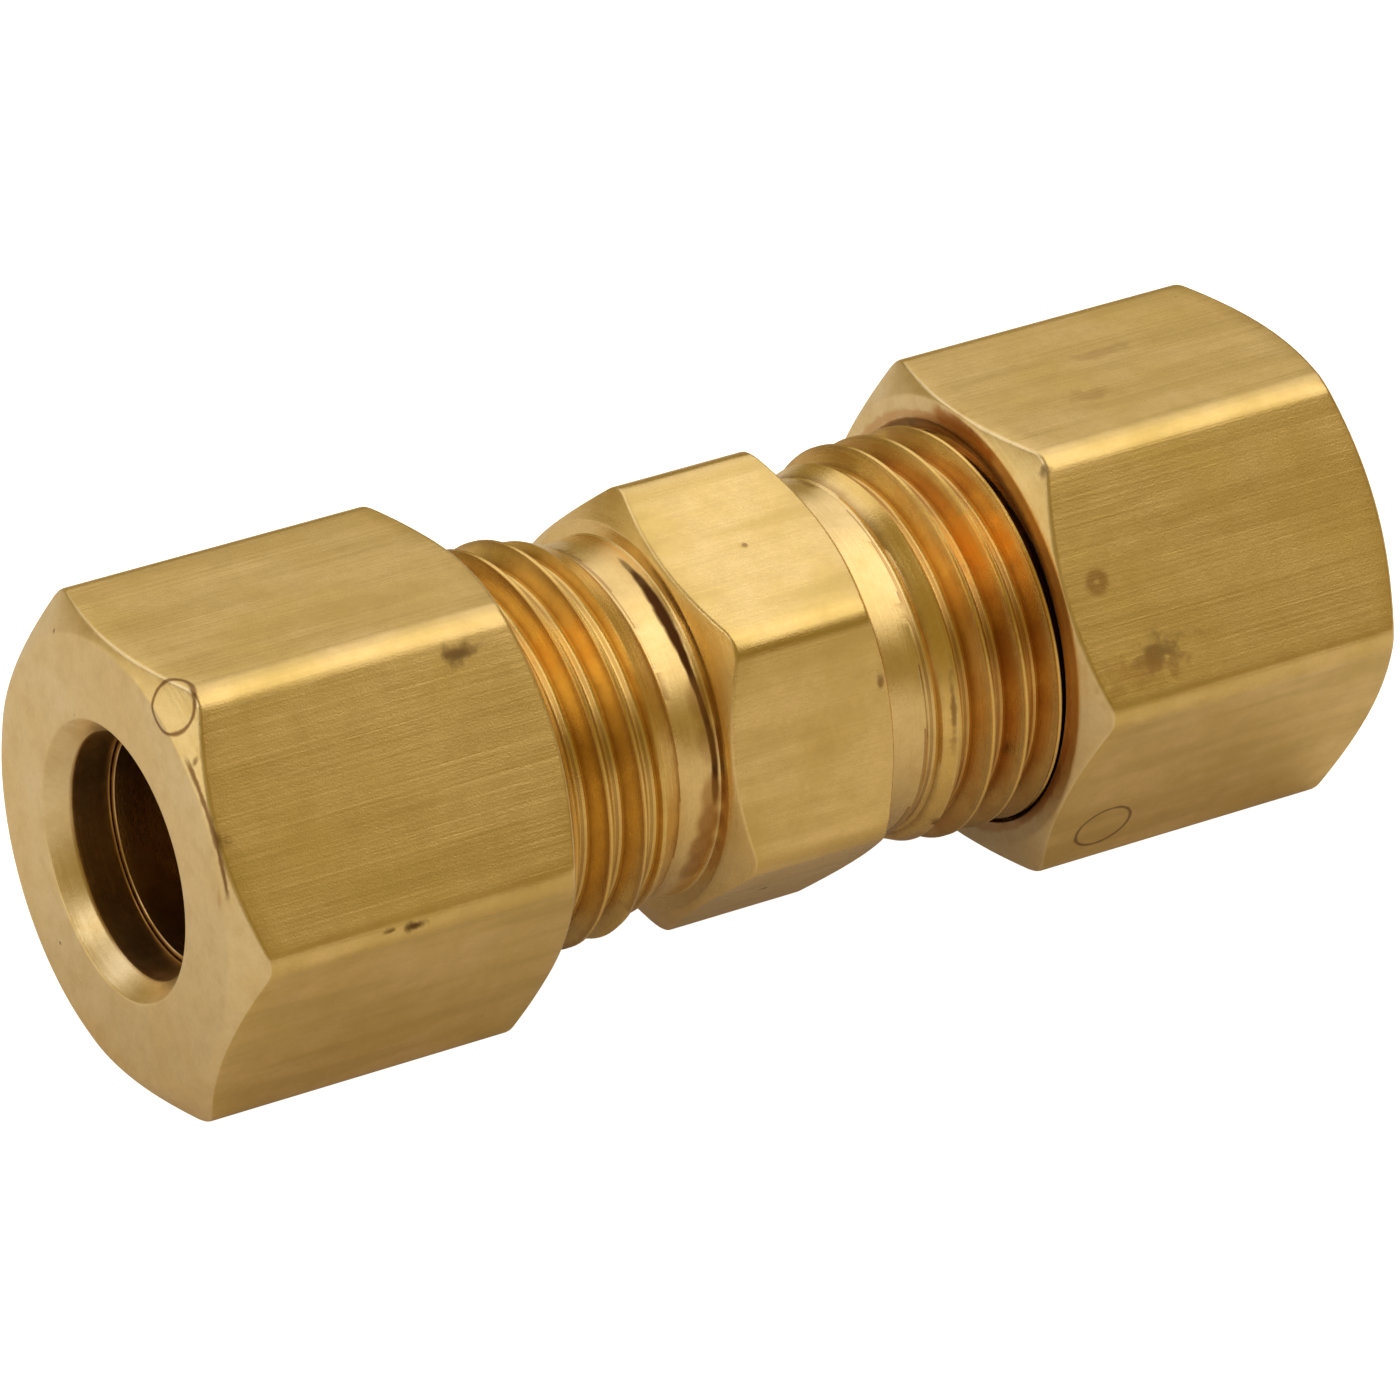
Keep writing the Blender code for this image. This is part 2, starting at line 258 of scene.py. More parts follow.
def column_angles(flats, corner, turn=0.0):
    """Angles round the axis, closer together at a hexagon's rounded corners. It ends a full turn on."""
    spread = corner_spread(flats, corner)
    even = [math.tau * k / ROUND_STEPS for k in range(ROUND_STEPS)]
    at_corners = [turn + math.tau * side / 6 + spread * CORNER_REACH * (2 * k / CORNER_STEPS - 1)
                  for side in range(6) for k in range(CORNER_STEPS + 1)]
    between = [a for a in even if min(abs((a - turn - math.tau * side / 6 + math.pi) % math.tau - math.pi)
                                      for side in range(6)) > spread * EVEN_REACH]
    angles = sorted({round(a % math.tau, 9) for a in between + at_corners} | {0.0})
    return np.array(angles + [math.tau])


def hexagon_radius(angles, flats, corner, turn=0.0):
    """Distance from the axis to a hexagon with rounded corners. A corner points along turn."""
    a = np.abs((angles - turn + math.pi / 6) % (math.pi / 3) - math.pi / 6)  # angle from the nearest corner
    centre = (flats / 2 - corner) / COS_30
    flat = flats / 2 / np.cos(math.pi / 6 - a)
    inside = corner ** 2 - (centre * np.sin(a)) ** 2
    rounded = centre * np.cos(a) + np.sqrt(np.maximum(inside, 0))
    return np.where(a < corner_spread(flats, corner), rounded, flat)


print("a nut's corner takes", round(math.degrees(2 * corner_spread(NUT_FLATS, NUT_CORNER)), 1), "degrees")

# %% [markdown]
# Machined edges are never perfectly sharp. A Bevel modifier could round them, but it would undo the rows. So
# each corner of an outline is replaced by a short curve, with as many points at every angle so that the rows
# still join.

# %% Outlines with rounded corners
EDGE_STEPS = 3  # straight pieces in a rounded corner
LONGEST_LEG = 0.45  # the most of a side that one corner's rounding may take


def along(value, count):
    """A number, or one number for each angle, as one number for each angle."""
    return np.broadcast_to(np.asarray(value, float), (count,))


def rounded_outline(corners, count, closed=False):
    """Rows of (x, radius) from (x, radius, rounding) corners. x and radius may differ with the angle."""
    points = [np.stack([along(x, count), along(r, count)], axis=-1) for x, r, _ in corners]
    rows = []
    for k, (_, _, rounding) in enumerate(corners):
        here = points[k]
        ends = not closed and k in (0, len(corners) - 1)
        if not rounding or ends:
            rows.append(here)
            continue
        legs = []
        for other in (points[k - 1], points[(k + 1) % len(points)]):
            leg = other - here
            length = np.maximum(np.linalg.norm(leg, axis=-1, keepdims=True), 1e-9)
            legs.append(leg / length * np.minimum(rounding, LONGEST_LEG * length))
        for step in range(EDGE_STEPS + 1):
            t = step / EDGE_STEPS
            rows.append(here + legs[0] * (1 - t) ** 2 + legs[1] * t ** 2)
    if closed:
        rows.append(rows[0])
    return fill_rows(np.array(rows))


def fill_rows(rows, longest=0.5 * MM):
    """Adds rows between rows that lie far apart, so that what is painted on the points is not stretched."""
    filled = [rows[0]]
    for before, after in zip(rows, rows[1:]):
        steps = max(1, math.ceil(np.linalg.norm(after - before, axis=-1).min() / longest))
        filled += [before + (after - before) * k / steps for k in range(1, steps + 1)]
    return np.array(filled)


def to_sheet(rows, angles):
    """Turns rows of (x, radius) into rows of points."""
    x, radius = rows[..., 0], rows[..., 1]
    return np.stack([x, radius * np.cos(angles), radius * np.sin(angles)], axis=-1)


trial = rounded_outline([(0, 0, 0), (MM, 0, 0.2 * MM), (MM, MM, 0)], 1)
print("a right angle with its corner rounded takes", len(trial), "rows")

# %% [markdown]
# Sheets that share an edge hold the same points there, so welding the points that coincide joins the sheets
# into one closed skin. A quad that has shrunk to a line goes with its points. A Boolean union would join them
# too, but it would cut new edges across the rows.

# %% Weld sheets into a piece
WELD = 2e-8
SHARP = math.radians(28)  # faces that meet at more than this are shaded apart


def piece(name, sheets, half_turn=False):
    """One mesh object from sheets of points. half_turn turns it about the upright axis."""
    points, quads, first = [], [], 0
    for sheet in sheets:
        rows, columns, _ = sheet.shape
        points.append(sheet.reshape(-1, 3))
        corner = first + np.arange(rows - 1)[:, None] * columns + np.arange(columns - 1)[None, :]
        quads.append(np.stack([corner, corner + 1, corner + columns + 1, corner + columns], -1).reshape(-1, 4))
        first += rows * columns
    points, quads = np.concatenate(points), np.concatenate(quads)
    if half_turn:
        points = points * (-1, -1, 1)
    mesh = bpy.data.meshes.new(name)
    mesh.from_pydata(points.tolist(), [], quads.tolist())
    bm = bmesh.new()
    bm.from_mesh(mesh)
    bmesh.ops.remove_doubles(bm, verts=bm.verts, dist=WELD)
    bmesh.ops.dissolve_degenerate(bm, edges=bm.edges, dist=WELD)
    bmesh.ops.recalc_face_normals(bm, faces=bm.faces)
    open_edges = sum(1 for edge in bm.edges if len(edge.link_faces) != 2)
    volume = bm.calc_volume(signed=True)
    bm.to_mesh(mesh)
    bm.free()
    mesh.shade_smooth()
    mesh.set_sharp_from_angle(angle=SHARP)
    obj = bpy.data.objects.new(name, mesh)
    bpy.context.scene.collection.objects.link(obj)
    print(f"{name}: {len(mesh.polygons)} faces, {open_edges} open edges, {volume * 1e9:.1f} mm3")
    return obj


# %% [markdown]
# ## The thread
# Both threads are right-handed, with 24 turns to the inch. A thread is one outline that repeats along the axis
# while it winds: a quarter turn round, it has moved on by a quarter of the pitch. A Screw modifier would make
# that too, but its ends need trimming. The rows here wind with the thread, so each runs along a crest, a flank
# or a root from one end to the other, and the crests stay crisp.

# %% Thread form
PITCH = 25.4 / 24 * MM
CREST = 5.54 * MM
ROOT = 4.95 * MM
HALF_CREST = PITCH / 16
FLANK = math.tan(math.radians(30))
SEAM_DEPTH = 0.035 * MM  # a rolled thread closes to a fine seam along its crest
SEAM_SHARE = 0.75  # of the crest's width
CREST_BLEND = 0.012 * MM  # how far a crest's edge is rounded off
ROOT_BLEND = 0.05 * MM
PHASE = {"left": 0.60 * MM, "right": 0.86 * MM}  # where a crest crosses +Y
# Shares of half a pitch, from the middle of a crest to the middle of a root, closest where the form bends.
ROW_SHARES = (0.0, 0.095, 0.125, 0.15, 0.20, 0.38, 0.56, 0.68, 0.75, 0.82, 0.92)


def soft_min(a, b, blend):
    """The smaller of two numbers, with the corner between them rounded off over about blend."""
    return 0.5 * (a + b - np.sqrt((a - b) ** 2 + blend ** 2)) + 0.5 * blend * np.exp(-np.abs(a - b) / blend)


def thread_radius(reach, crest, root, half_crest):
    """Radius of a thread's form at a distance along the axis from the middle of a crest."""
    a = np.abs((reach + PITCH / 2) % PITCH - PITCH / 2)
    flank = crest - (a - half_crest) / FLANK
    seam = SEAM_DEPTH * np.clip(1 - a / (SEAM_SHARE * HALF_CREST), 0, 1)
    return -soft_min(-soft_min(flank, crest, CREST_BLEND) + seam, -root, ROOT_BLEND)


print("crest to crest:", round(PITCH / MM, 4), "mm")

# %% Male thread sheet
def thread_sheet(angles, start, end, phase, outline):
    """Winding rows between two places on the axis, held within a turned outline. Ends are plain rings."""
    shares = [s / 2 for s in ROW_SHARES] + [0.5] + [1 - s / 2 for s in reversed(ROW_SHARES[1:])]
    first = math.floor((start - phase) / PITCH) - 1
    last = math.ceil((end - phase) / PITCH) + 1
    reach = np.array([(turn + share) * PITCH for turn in range(first, last) for share in shares])
    x = np.clip(phase + reach[:, None] + PITCH * angles[None, :] / math.tau, start, end)
    form = np.broadcast_to(thread_radius(reach, CREST, ROOT, HALF_CREST)[:, None], x.shape)
    limit = outline(x)
    radius = np.where((x <= start) | (x >= end), limit, np.clip(form, ROOT, limit))
    return to_sheet(np.stack([x, radius], axis=-1), angles[None, :])


print("rows to a turn of thread:", 2 * len(ROW_SHARES))

# %% [markdown]
# ## The union body
# The body is turned from hexagonal bar. Its middle keeps the hexagon, with a 30 degree chamfer turned at both
# faces, then come two plain necks, and the threads start up a shallow cone where the cutting tool ran in. It
# could be joined from cylinders and a prism. One run of sheets has no seams, and follows the chamfer's curved
# edge.

# %% Body sizes
BODY_FLATS = 11.1125 * MM
BODY_CORNER = 0.95 * MM
BODY_TURN = math.radians(20)
BODY_HALF_WIDTH = 2.565 * MM
BODY_FACE_RADIUS = 5.365 * MM
NECK_RADIUS = ROOT
RUN_OUT = 3.8 * MM  # where the neck ends and the cone starts
RUN_OUT_SLOPE = 0.42
MOUTH_RADIUS = 4.3 * MM
MOUTH_LENGTH = 1.862 * MM
SOCKET_RADIUS = 3.225 * MM
SOCKET_END = BODY_END - 6.5 * MM
FLOW_RADIUS = 2.4 * MM
END_CHAMFER = 0.59 * MM
CHAMFER = math.tan(math.radians(30))
EDGE = 0.05 * MM  # how far most edges are rounded
HEXAGON_EDGE = 0.08 * MM
NECK_FILLET = 0.12 * MM


def body_outline(x):
    """Largest radius of the body's threaded ends at a place on the axis."""
    out = np.abs(x)
    run_out = NECK_RADIUS + np.maximum(out - RUN_OUT, 0) * RUN_OUT_SLOPE
    return np.minimum(run_out, CREST - END_CHAMFER + (BODY_END - out))


print("body:", round(2 * BODY_END / MM, 2), "mm long,", round(BODY_FLATS / MM, 2), "mm across its flats")

# %% Body outlines
body_angles = column_angles(BODY_FLATS, BODY_CORNER, BODY_TURN)
count = len(body_angles)
hexagon = hexagon_radius(body_angles, BODY_FLATS, BODY_CORNER, BODY_TURN)
shoulder = BODY_HALF_WIDTH - (hexagon - BODY_FACE_RADIUS) * CHAMFER

middle = rounded_outline([
    (-RUN_OUT, NECK_RADIUS, 0), (-BODY_HALF_WIDTH, NECK_RADIUS, NECK_FILLET),
    (-BODY_HALF_WIDTH, BODY_FACE_RADIUS, EDGE), (-shoulder, hexagon, HEXAGON_EDGE),
    (shoulder, hexagon, HEXAGON_EDGE), (BODY_HALF_WIDTH, BODY_FACE_RADIUS, EDGE),
    (BODY_HALF_WIDTH, NECK_RADIUS, NECK_FILLET), (RUN_OUT, NECK_RADIUS, 0),
], count)
bore = rounded_outline([
    (BODY_END, CREST - END_CHAMFER, 0), (BODY_END, MOUTH_RADIUS, EDGE),
    (BODY_END - MOUTH_LENGTH, SOCKET_RADIUS, EDGE), (SOCKET_END, SOCKET_RADIUS, EDGE),
    (SOCKET_END, FLOW_RADIUS, EDGE), (-SOCKET_END, FLOW_RADIUS, EDGE),
    (-SOCKET_END, SOCKET_RADIUS, EDGE), (-BODY_END + MOUTH_LENGTH, SOCKET_RADIUS, EDGE),
    (-BODY_END, MOUTH_RADIUS, EDGE), (-BODY_END, CREST - END_CHAMFER, 0),
], count)
print("columns:", count, "rows of the middle:", len(middle), "rows of the bore:", len(bore))

# %% Body
union_body = piece("brass_union_body", [
    thread_sheet(body_angles, -BODY_END, -RUN_OUT, PHASE["left"], body_outline),
    to_sheet(middle, body_angles),
    thread_sheet(body_angles, RUN_OUT, BODY_END, PHASE["right"], body_outline),
    to_sheet(bore, body_angles),
])
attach(union_body, "union")
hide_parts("union_body")

# %% [markdown]
# ## The nuts
# A nut is a length of hexagonal bar, faced and chamfered at both ends, drilled for the tube and tapped from the
# other end. One function makes both. The left-hand nut is the right-hand one given half a turn, where a mirror
# image would have turned its thread left-handed.

# %% Nut sizes
NUT_FACE_RADIUS = 6.107 * MM
NUT_MOUTH_FACE_RADIUS = 6.285 * MM
NUT_LENGTH = NUT_FACE_OUT - NUT_OUT
NUT_BORE = 3.35 * MM
ENTRY_RADIUS = 3.85 * MM
ENTRY_DEPTH = 0.6 * MM
COUNTERSINK_RADIUS = 5.66 * MM
COUNTERSINK_SLOPE = 1.6
TAPPED_BORE = 5.08 * MM
TAPPED_GROOVE = 5.66 * MM
GROOVE_SINK = 0.1 * MM  # the groove's form ends this much inside the bore, so that the two meet at an edge
GROOVE_ROOM = 0.09 * MM  # how much wider the groove's bottom is than half a crest
TAP_START = 0.2 * MM
TAP_END = 5.97 * MM
TAP_ROWS = 150
CHAMBER_END = 6.77 * MM
SEAT_END = 8.5 * MM
BORE_SPLIT = NUT_LENGTH - ENTRY_DEPTH - 0.3 * MM  # where the sheets of the outside and the chamber meet
ENTRY_EDGE = 0.06 * MM
NUT_HEXAGON_EDGE = 0.1 * MM


def tapped_radius(reach, angles, phase):
    """Radius inside a nut: the countersink, the thread, the bore. reach is measured from its thread end."""
    countersink = COUNTERSINK_RADIUS - reach * COUNTERSINK_SLOPE
    groove = thread_radius(reach[:, None] - phase - PITCH * angles[None, :] / math.tau,
                           TAPPED_GROOVE, TAPPED_BORE - GROOVE_SINK, HALF_CREST + GROOVE_ROOM)
    fade = np.clip(TAP_END - reach, 0, None)[:, None] + TAPPED_BORE
    plain = np.maximum(countersink, TAPPED_BORE)[:, None]
    return np.maximum(plain, np.minimum(groove, fade))


print("nut:", round(NUT_LENGTH / MM, 2), "mm long,", round(NUT_FLATS / MM, 2), "mm across its flats")

# %% Nuts
def make_nut(side):
    """One nut, from three sheets: its outside, its thread and the chamber behind the thread."""
    swapped = side == "left"
    angles = column_angles(NUT_FLATS, NUT_CORNER)
    count = len(angles)
    hexagon = hexagon_radius(angles, NUT_FLATS, NUT_CORNER)
    face_shoulder = NUT_LENGTH - (hexagon - NUT_FACE_RADIUS) * CHAMFER
    mouth_shoulder = (hexagon - NUT_MOUTH_FACE_RADIUS) * CHAMFER
    # Half a turn about the upright axis takes +Y to -Y, which moves a crest by half a pitch and the other way.
    phase = PITCH / 2 - PHASE[side] if swapped else PHASE[side]
    tapped = np.linspace(TAP_START, TAP_END, TAP_ROWS)
    inner = np.stack([np.broadcast_to(tapped[:, None], (len(tapped), count)),
                      tapped_radius(tapped, angles, phase - NUT_OUT)], axis=-1)
    outside = rounded_outline([
        (BORE_SPLIT, NUT_BORE, 0), (NUT_LENGTH - ENTRY_DEPTH, NUT_BORE, ENTRY_EDGE),
        (NUT_LENGTH, ENTRY_RADIUS, ENTRY_EDGE), (NUT_LENGTH, NUT_FACE_RADIUS, HEXAGON_EDGE),
        (face_shoulder, hexagon, NUT_HEXAGON_EDGE), (mouth_shoulder, hexagon, NUT_HEXAGON_EDGE),
        (0, NUT_MOUTH_FACE_RADIUS, ENTRY_EDGE), (0, COUNTERSINK_RADIUS, EDGE),
        (inner[0, :, 0], inner[0, :, 1], 0),
    ], count)
    chamber = rounded_outline([
        (inner[-1, :, 0], inner[-1, :, 1], 0), (CHAMBER_END, TAPPED_BORE, EDGE),
        (SEAT_END, NUT_BORE, EDGE), (BORE_SPLIT, NUT_BORE, 0),
    ], count)
    sheets = [to_sheet(rows, angles) for rows in (outside, inner, chamber)]
    for sheet in sheets:
        sheet[..., 0] += NUT_OUT
    nut = piece(f"{side}_brass_nut", sheets, half_turn=swapped)
    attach(nut, f"{side}_nut")
    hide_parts(f"{side}_nut")
    return nut


nuts = {side: make_nut(side) for side in ("left", "right")}

# %% [markdown]
# ## The sleeves
# A sleeve, or ferrule, is a short ring with a cone at its nose. Only its back edge shows, deep in the nut's
# bore, where it all but touches the nut's seat. A bevelled tube would do for it, but with the helpers at hand
# its outline can be spun as it is.

# %% Sleeves
SLEEVE_BORE = 3.2 * MM
SLEEVE_NOSE = 3.45 * MM
SLEEVE_SHOULDER = 0.2 * MM
BACK_EDGE = 0.03 * MM
SEAT_CLEARANCE = 0.04 * MM


def make_sleeve(side):
    """One sleeve, from a closed outline: nose, cone, shoulders, back and bore."""
    angles = np.linspace(0, math.tau, ROUND_STEPS + 1)
    nose_length = (SLEEVE_RADIUS - SLEEVE_NOSE) / CHAMFER
    back_length = SLEEVE_RADIUS - NUT_BORE
    back = NUT_OUT + SEAT_END - SEAT_CLEARANCE
    rows = rounded_outline([
        (SLEEVE_OUT, SLEEVE_BORE, EDGE), (SLEEVE_OUT, SLEEVE_NOSE, ENTRY_EDGE),
        (SLEEVE_OUT + nose_length, SLEEVE_RADIUS, SLEEVE_SHOULDER),
        (back - back_length, SLEEVE_RADIUS, SLEEVE_SHOULDER),
        (back, NUT_BORE, BACK_EDGE), (back, SLEEVE_BORE, EDGE),
    ], len(angles), closed=True)
    sleeve = piece(f"{side}_brass_sleeve", [to_sheet(rows, angles)], half_turn=side == "left")
    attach(sleeve, f"{side}_sleeve")
    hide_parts(f"{side}_sleeve")
    return sleeve


sleeves = {side: make_sleeve(side) for side in ("left", "right")}

# %% [markdown]
# ## What the surface knows about its shape
# Wear and a painted highlight sit on ridges, and grime and painted shade sit in creases. Each point is given its
# distance to the nearest ridge and to the nearest crease, which the materials read as attributes. Blender's own
# Pointiness would do much the same in a render, but it depends on the size of the faces, and a stored distance is
# in millimetres.

# %% Measure ridges and creases
FAR = 1.0  # mm, beyond which a distance no longer matters
BEND = math.radians(3.6)  # two faces that meet at more than this make a ridge or a crease
FLAT_DEPTH = 0.008 * MM  # a face this little below the flats still counts as one
ALONG_AXIS = 0.2  # a flat's normal points along the axis by less than this


def measure_shape(obj, flats=None):
    """Stores the distance in mm to ridges and creases, and which faces were turned on the lathe."""
    mesh = obj.data
    bm = bmesh.new()
    bm.from_mesh(mesh)
    bends = {"ridge": set(), "crease": set()}
    for edge in bm.edges:
        angle = edge.calc_face_angle_signed(0)
        if abs(angle) > BEND:
            bends["ridge" if angle > 0 else "crease"].update(vert.index for vert in edge.verts)
    for name, indices in bends.items():
        tree = KDTree(max(len(indices), 1))
        for index in indices:
            tree.insert(mesh.vertices[index].co, index)
        tree.balance()
        away = [min((tree.find(vert.co)[2] or FAR * MM) / MM, FAR) if indices else FAR for vert in mesh.vertices]
        mesh.attributes.new(name, "FLOAT", "POINT").data.foreach_set("value", away)
    turned = []
    for face in mesh.polygons:
        radius = math.hypot(*face.center[1:])
        on_flat = flats and abs(face.normal.x) < ALONG_AXIS and radius > flats / 2 - FLAT_DEPTH
        turned.append(0.0 if on_flat else 1.0)
    mesh.attributes.new("turned", "FLOAT", "FACE").data.foreach_set("value", turned)
    print(obj.name, "ridge points:", len(bends["ridge"]), "crease points:", len(bends["crease"]))
    bm.free()


measure_shape(union_body, BODY_FLATS)
for nut in nuts.values():
    measure_shape(nut, NUT_FLATS)
for sleeve in sleeves.values():
    measure_shape(sleeve)

# %% [markdown]
# ## Effects that the brasses share
# Every effect is a node group. It is built once, and each brass sets its own values on it. A group gives out
# only a mask or a height that changes over the surface, and the material decides what to do with it.

# %% Group helper
def effect(name, inputs, outputs):
    """An empty node group. inputs are (name, value) pairs, where a value of three numbers makes a vector."""
    tree = bpy.data.node_groups.new(name, "ShaderNodeTree")
    for socket, value in inputs:
        kind = "NodeSocketVector" if isinstance(value, tuple) else "NodeSocketFloat"
        tree.interface.new_socket(socket, in_out="INPUT", socket_type=kind).default_value = value
    for socket in outputs:
        tree.interface.new_socket(socket, in_out="OUTPUT", socket_type="NodeSocketFloat")
    return tree, add_node(tree, "NodeGroupInput").outputs, add_node(tree, "NodeGroupOutput").inputs


def millimetres(tree):
    """The point on the piece, in millimetres."""
    place = add_node(tree, "ShaderNodeTexCoord").outputs["Object"]
    scale = add_node(tree, "ShaderNodeVectorMath", operation="SCALE")
    plug(tree, place, scale.inputs[0])
    scale.inputs["Scale"].default_value = 1 / MM
    return scale.outputs[0]


def noise(tree, vector, scale=1.0, detail=3.0, roughness=0.55):
    """A Noise Texture's value at a vector."""
    node = add_node(tree, "ShaderNodeTexNoise")
    plug(tree, vector, node.inputs["Vector"])
    for name, value in (("Scale", scale), ("Detail", detail), ("Roughness", roughness)):
        plug(tree, value, node.inputs[name])
    return node.outputs["Fac"]


def ramp(tree, value, low, high):
    """0 at low, 1 at high, and smooth between. low may be above high."""
    node = add_node(tree, "ShaderNodeMapRange", interpolation_type="SMOOTHSTEP")
    for key, number in (("Value", value), ("From Min", low), ("From Max", high)):
        plug(tree, number, node.inputs[key])
    return node.outputs["Result"]


# %% [markdown]
# Bar stock is pulled through a die, which leaves long straight lines on its flats. Noise that is stretched
# along the axis gives lines of no fixed length, where a wave texture would repeat.

# %% Drawn lines
drawn, given, result = effect("drawn_lines", [("Spacing", 0.12), ("Length", 5.0)], ["Lines", "Bands"])
point = add_node(drawn, "ShaderNodeSeparateXYZ")
plug(drawn, millimetres(drawn), point.inputs[0])


def stretched(tree, x, across, parts):
    """Noise over a point whose x is divided by one length and whose y and z are divided by another."""
    joined = add_node(tree, "ShaderNodeCombineXYZ")
    plug(tree, maths(tree, "DIVIDE", parts[0], x), joined.inputs[0])
    plug(tree, maths(tree, "DIVIDE", parts[1], across), joined.inputs[1])
    plug(tree, maths(tree, "DIVIDE", parts[2], across), joined.inputs[2])
    return joined.outputs[0]


BAND_WIDTH = 7  # lines to a band

fine = stretched(drawn, given["Length"], given["Spacing"], point.outputs)
plug(drawn, noise(drawn, fine, detail=4), result["Lines"])
broad = stretched(drawn, given["Length"], maths(drawn, "MULTIPLY", given["Spacing"], BAND_WIDTH), point.outputs)
plug(drawn, noise(drawn, broad, detail=2), result["Bands"])
print(drawn.name, "has", len(drawn.nodes), "nodes")

# %% [markdown]
# A turned face carries the tool's fine rings. A Wave texture makes perfect rings, which look printed. Noise
# over the distance from the axis and the place along it, and only a little over the angle, gives rings that
# waver slightly as they do on a worn lathe.

# %% Turning rings
turning, given, result = effect("turning_rings", [("Spacing", 0.1), ("Waver", 0.05)], ["Rings"])
point = add_node(turning, "ShaderNodeSeparateXYZ")
plug(turning, millimetres(turning), point.inputs[0])
x, y, z = point.outputs
out_from_axis = maths(turning, "SQRT", maths(turning, "ADD", maths(turning, "MULTIPLY", y, y),
                                             maths(turning, "MULTIPLY", z, z)))
joined = add_node(turning, "ShaderNodeCombineXYZ")
plug(turning, maths(turning, "DIVIDE", out_from_axis, given["Spacing"]), joined.inputs[0])
plug(turning, maths(turning, "DIVIDE", x, given["Spacing"]), joined.inputs[1])
plug(turning, maths(turning, "MULTIPLY", maths(turning, "ADD", y, z), given["Waver"]), joined.inputs[2])
plug(turning, noise(turning, joined.outputs[0], detail=3), result["Rings"])
print(turning.name, "has", len(turning.nodes), "nodes")

# %% [markdown]
# Brass that has been handled tarnishes in soft patches and picks up small dark specks. Both come from noise
# that is cut off at a level: the higher the level, the fewer the patches.

# %% Patches and specks
patches, given, result = effect("patches", [("Size", 3.0), ("Level", 0.5), ("Softness", 0.15), ("Shift", 0.0)],
                                ["Mask"])
moved = add_node(patches, "ShaderNodeVectorMath", operation="ADD")
plug(patches, millimetres(patches), moved.inputs[0])
plug(patches, given["Shift"], moved.inputs[1])
value = noise(patches, moved.outputs[0], maths(patches, "DIVIDE", 1.0, given["Size"]), detail=5, roughness=0.6)
plug(patches, ramp(patches, value, maths(patches, "SUBTRACT", given["Level"], given["Softness"]),
                   maths(patches, "ADD", given["Level"], given["Softness"])), result["Mask"])
print(patches.name, "has", len(patches.nodes), "nodes")

# %% [markdown]
# Rubbed ridges are smoother and brighter than the rest, and their brighter colour is also a painted highlight.
# Creases are darker, with grime and with painted shade. The group reads the two distances that were measured
# above. A little noise breaks both edges up, because real rubbing is never an even stripe.

# %% Ridge rubbing and highlight, crease grime and shade
wear_dirt_and_painted_light, given, result = effect("ridge_wear", [("Ridge Width", 0.3), ("Crease Width", 0.3)], ["Ridge", "Crease"])
ragged = maths(wear_dirt_and_painted_light, "MULTIPLY_ADD", noise(wear_dirt_and_painted_light, millimetres(wear_dirt_and_painted_light), 1.6, detail=5), 1.5, 0.25)
for name, width in (("Ridge", "Ridge Width"), ("Crease", "Crease Width")):
    distance = add_node(wear_dirt_and_painted_light, "ShaderNodeAttribute", attribute_name=name.lower()).outputs["Fac"]
    plug(wear_dirt_and_painted_light, ramp(wear_dirt_and_painted_light, distance, maths(wear_dirt_and_painted_light, "MULTIPLY", given[width], ragged), 0.0), result[name])
print(wear_dirt_and_painted_light.name, "has", len(wear_dirt_and_painted_light.nodes), "nodes")

# %% [markdown]
# Some marks have a place of their own: thin rings where a round end was pressed on the metal, arcs where it was
# rubbed, and smudges. Painting them would need an image. Here each is a distance from a point, so it wraps
# round whatever surface is there, and an arc is the part of a ring that lies near a second point.

# %% Placed marks
EVERYWHERE = 1000.0  # mm, so that a mark with no middle of its own is not cut short

mark, given, result = effect("placed_mark", [
    ("Centre", (0.0, 0.0, 0.0)), ("Stretch", (1.0, 1.0, 1.0)), ("Radius", 0.0), ("Width", 0.1), ("Core", 0.2),
    ("Raggedness", 0.5), ("Middle", (0.0, 0.0, 0.0)), ("Reach", EVERYWHERE)], ["Mask"])
away = add_node(mark, "ShaderNodeVectorMath", operation="SUBTRACT")
place = millimetres(mark)
plug(mark, place, away.inputs[0])
plug(mark, given["Centre"], away.inputs[1])
shaped = add_node(mark, "ShaderNodeVectorMath", operation="DIVIDE")
plug(mark, away.outputs[0], shaped.inputs[0])
plug(mark, given["Stretch"], shaped.inputs[1])
length = add_node(mark, "ShaderNodeVectorMath", operation="LENGTH")
plug(mark, shaped.outputs[0], length.inputs[0])
from_line = maths(mark, "ABSOLUTE", maths(mark, "SUBTRACT", length.outputs["Value"], given["Radius"]))
swing = maths(mark, "SUBTRACT", noise(mark, place, 2.2, detail=5), 0.5)
ragged = maths(mark, "MULTIPLY_ADD", swing, maths(mark, "MULTIPLY", given["Raggedness"], 3.0), 1.0)
edge = maths(mark, "MULTIPLY", given["Width"], ragged)
drawn_on = ramp(mark, from_line, edge, maths(mark, "MULTIPLY", edge, given["Core"]))
from_middle = add_node(mark, "ShaderNodeVectorMath", operation="DISTANCE")
plug(mark, place, from_middle.inputs[0])
plug(mark, given["Middle"], from_middle.inputs[1])
within = ramp(mark, from_middle.outputs["Value"], given["Reach"], maths(mark, "MULTIPLY", given["Reach"], 0.75))
plug(mark, maths(mark, "MULTIPLY", drawn_on, within), result["Mask"])
print(mark.name, "has", len(mark.nodes), "nodes")
